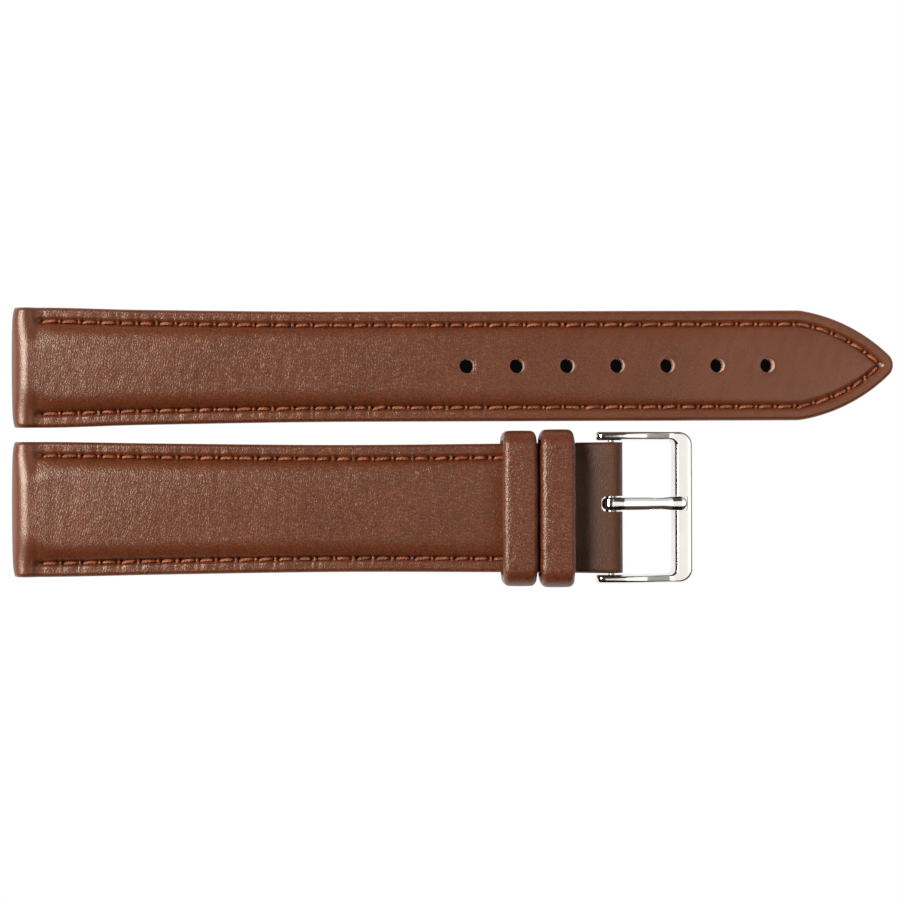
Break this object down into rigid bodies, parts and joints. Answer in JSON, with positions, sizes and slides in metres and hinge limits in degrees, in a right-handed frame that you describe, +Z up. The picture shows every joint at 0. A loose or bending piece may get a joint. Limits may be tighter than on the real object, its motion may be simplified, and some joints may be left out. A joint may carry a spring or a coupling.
{
  "type": "leather watch strap",
  "caption": "Padded leather watch strap in two halves, with stitched edges, adjusting holes, a fixed and a sliding keeper, and a pin buckle on a spring bar.",
  "frame": {"origin": "middle of the two halves laid side by side, on the table under them", "axes": "+X along the strap from the lug ends to the long half's tip, +Y across from the short half to the long half, +Z up from the table"},
  "size_m": [0.1177, 0.0372, 0.0075],
  "materials": {
    "upper_leather": "smooth calf with a soft sheen",
    "lining_leather": "matt suede-like lining",
    "padding_felt": "felt filler",
    "reinforcement": "raw split leather",
    "thread": "twisted waxed thread",
    "polished_steel": "mirror polished",
    "bar_steel": "turned stainless"
  },
  "bodies": {
    "short_half": {"short_upper": "upper_leather", "short_padding": "padding_felt", "short_reinforcement": "reinforcement", "short_lining": "lining_leather", "short_needle_stitches": "thread", "short_bobbin_stitches": "thread", "fixed_keeper_cover": "upper_leather", "fixed_keeper_lining": "lining_leather", "spring_bar_tube": "bar_steel", "spring_bar_spring": "bar_steel"},
    "long_half": {"long_upper": "upper_leather", "long_padding": "padding_felt", "long_reinforcement": "reinforcement", "long_lining": "lining_leather", "long_needle_stitches": "thread", "long_bobbin_stitches": "thread"},
    "free_keeper": {"free_keeper_cover": "upper_leather", "free_keeper_lining": "lining_leather"},
    "buckle": {"buckle_frame": "polished_steel"},
    "tongue": {"buckle_tongue": "polished_steel"},
    "plunger_left": {"spring_bar_plunger_left": "bar_steel"},
    "plunger_right": {"spring_bar_plunger_right": "bar_steel"}
  },
  "joints": [
    {"name": "buckle_swing", "type": "hinge", "parent": "short_half", "child": "buckle", "pos_m": [0.02092, -0.00833, 0.0026], "axis": [0, -1, 0], "range_deg": [-120, 38]},
    {"name": "tongue_swing", "type": "hinge", "parent": "buckle", "child": "tongue", "pos_m": [0.02092, -0.00833, 0.0026], "axis": [0, -1, 0], "range_deg": [0, 60]},
    {"name": "keeper_slide", "type": "slide", "parent": "short_half", "child": "free_keeper", "axis": [-0.9999, 0, -0.0138], "range_m": [0, 0.03]},
    {"name": "plunger_left_push", "type": "slide", "parent": "short_half", "child": "plunger_left", "axis": [0, -1, 0], "range_m": [0, 0.0008], "stiffness_N_per_m": 300, "springref_m": -0.002, "deforming": ["spring_bar_spring"]},
    {"name": "plunger_right_push", "type": "slide", "parent": "short_half", "child": "plunger_right", "axis": [0, 1, 0], "range_m": [0, 0.0008], "stiffness_N_per_m": 300, "springref_m": -0.002},
    {"name": "long_half_lift", "type": "slide", "parent": "short_half", "child": "long_half", "axis": [0, 0, 1], "range_m": [0, 0.05]}
  ]
}
